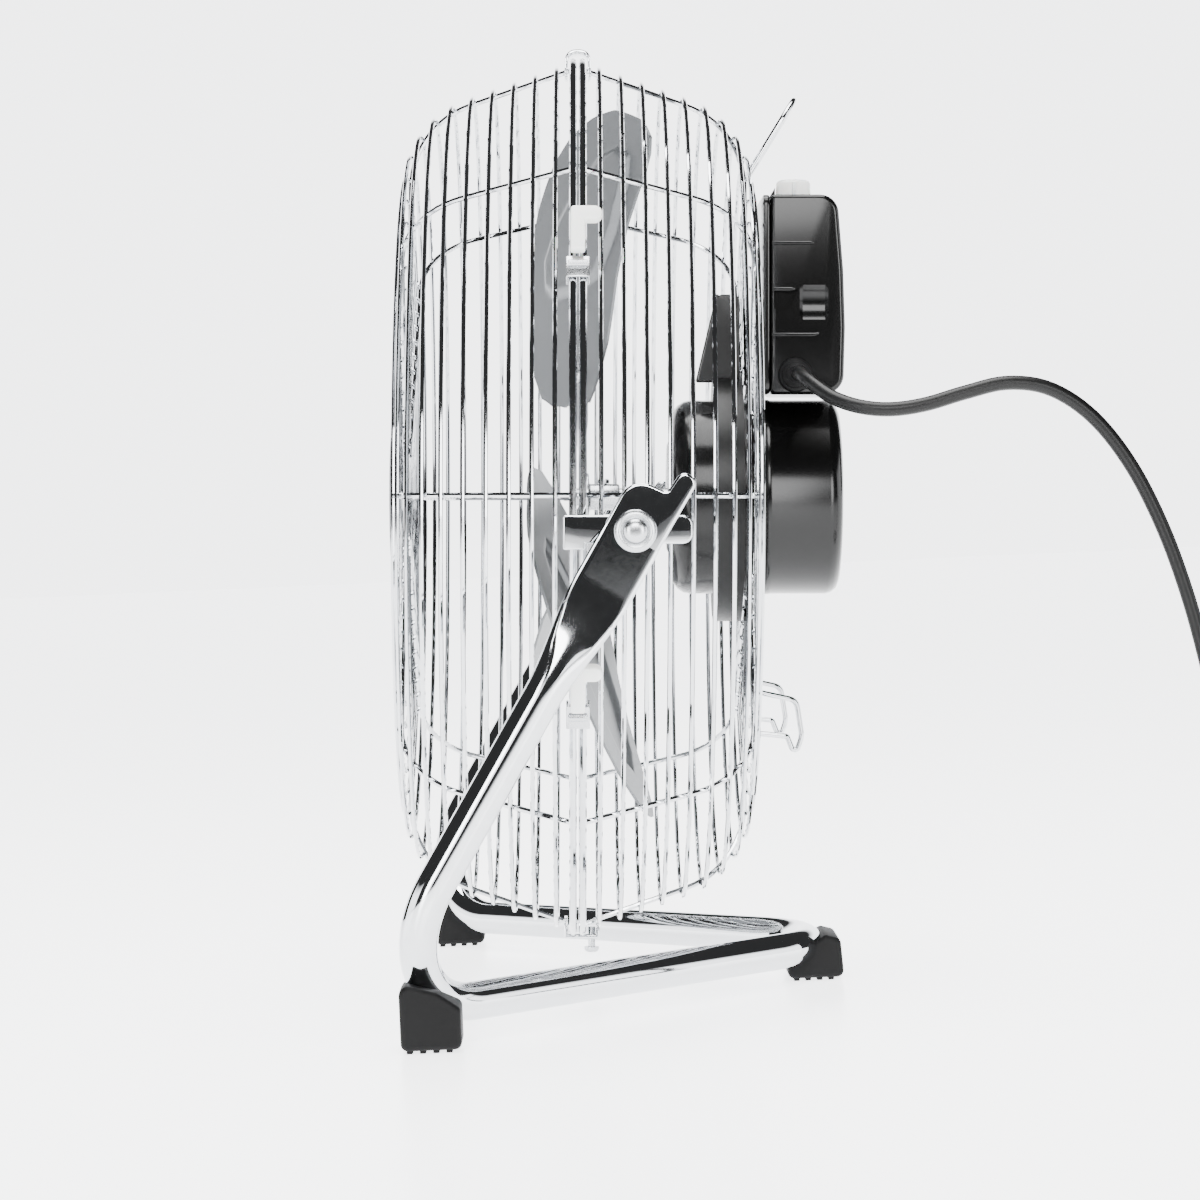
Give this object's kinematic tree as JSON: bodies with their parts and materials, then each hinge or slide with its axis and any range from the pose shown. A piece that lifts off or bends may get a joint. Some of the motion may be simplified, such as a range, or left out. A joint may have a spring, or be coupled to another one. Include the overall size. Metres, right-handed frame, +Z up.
{
  "type": "desk fan",
  "caption": "Desk fan with a round wire guard, metal blades and a rear motor, tilting on a bent chrome tube stand with rubber feet.",
  "frame": {"origin": "on the ground under the middle of the fan's bounding box, cord left out", "axes": "+Z up; the fan blows towards -Y; X runs along the two tilt pivots, and +X is the right side seen from the front"},
  "size_m": [0.4354, 0.5228, 0.4257],
  "materials": {
    "chrome": "bright chrome-plated steel wire and tube",
    "plated_steel": "zinc-plated steel, satin",
    "blade_metal": "pressed sheet metal, satin grey",
    "black_plastic": "moulded black plastic, semi-gloss",
    "black_steel": "black enamelled steel",
    "black_rubber": "moulded black rubber, matt",
    "white_plastic": "moulded white plastic",
    "grey_plastic": "moulded grey plastic",
    "core_steel": "stacked steel laminations",
    "copper": "enamelled copper winding",
    "capacitor": "cream plastic case",
    "brass": "nickel-plated brass pins"
  },
  "bodies": {
    "stand": {"stand_tube": "chrome", "front_foot_left": "black_rubber", "front_foot_right": "black_rubber", "rear_foot": "black_rubber", "pivot_rivet_left": "plated_steel", "pivot_rivet_right": "plated_steel", "pivot_washer_left": "plated_steel", "pivot_washer_right": "plated_steel", "pivot_spacer_left": "grey_plastic", "pivot_spacer_right": "grey_plastic", "cord": "black_plastic", "cord_coil": "black_plastic", "plug_body": "black_plastic", "plug_pin_1": "brass", "plug_pin_2": "brass"},
    "head": {"front_guard": "chrome", "rear_guard": "chrome", "top_hook": "chrome", "bottom_clamp": "chrome", "side_bracket_left": "chrome", "side_bracket_right": "chrome", "handle": "chrome", "cord_hook_left": "chrome", "cord_hook_right": "chrome", "bottom_clamp_screw": "plated_steel", "front_bearing": "plated_steel", "rear_bearing": "plated_steel", "clip_upper_right": "plated_steel", "clip_lower_right": "plated_steel", "clip_upper_left": "plated_steel", "clip_lower_left": "plated_steel", "motor_front_housing": "black_plastic", "motor_rear_cover": "black_plastic", "control_box_cover": "black_plastic", "control_box_base": "black_plastic", "cord_gland": "black_plastic", "motor_bracket": "black_steel", "front_badge": "grey_plastic", "speed_switch": "grey_plastic", "stator": "core_steel", "front_winding": "copper", "rear_winding": "copper", "capacitor": "capacitor"},
    "fan": {"shaft": "plated_steel", "rotor": "core_steel", "hub": "plated_steel", "set_screw": "plated_steel", "blade_spider": "plated_steel", "blade_1": "blade_metal", "blade_2": "blade_metal", "blade_3": "blade_metal", "blade_rivet_1": "plated_steel", "blade_rivet_2": "plated_steel", "blade_rivet_3": "plated_steel"},
    "knob": {"speed_knob": "white_plastic"},
    "clip_lever_upper_right": {"clip_lever_upper_right": "white_plastic"},
    "clip_lever_lower_right": {"clip_lever_lower_right": "white_plastic"},
    "clip_lever_upper_left": {"clip_lever_upper_left": "white_plastic"},
    "clip_lever_lower_left": {"clip_lever_lower_left": "white_plastic"}
  },
  "joints": [
    {"name": "head_tilt", "type": "hinge", "parent": "stand", "child": "head", "pos_m": [0, 0.0033, 0.2082], "axis": [-1, 0, 0], "range_deg": [-28, 75], "deforming": ["cord"]},
    {"name": "fan_spin", "type": "hinge", "parent": "head", "child": "fan", "pos_m": [0, -0.01934, 0.22375], "axis": [0, 0.999, -0.0436], "continuous": true},
    {"name": "speed_knob_turn", "type": "hinge", "parent": "head", "child": "knob", "pos_m": [0, 0.08547, 0.35931], "axis": [0, 0.0436, 0.999], "range_deg": [0, 135]},
    {"name": "clip_lever_upper_right_open", "type": "hinge", "parent": "head", "child": "clip_lever_upper_right", "pos_m": [0.17738, -0.01495, 0.32442], "axis": [0, 0.999, -0.0436], "range_deg": [0, 80]},
    {"name": "clip_lever_lower_right_open", "type": "hinge", "parent": "head", "child": "clip_lever_lower_right", "pos_m": [0.18366, -0.02322, 0.13505], "axis": [0, 0.999, -0.0436], "range_deg": [0, 24]},
    {"name": "clip_lever_upper_left_open", "type": "hinge", "parent": "head", "child": "clip_lever_upper_left", "pos_m": [-0.17738, -0.01495, 0.32442], "axis": [0, -0.999, 0.0436], "range_deg": [0, 80]},
    {"name": "clip_lever_lower_left_open", "type": "hinge", "parent": "head", "child": "clip_lever_lower_left", "pos_m": [-0.18366, -0.02322, 0.13505], "axis": [0, -0.999, 0.0436], "range_deg": [0, 24]}
  ]
}
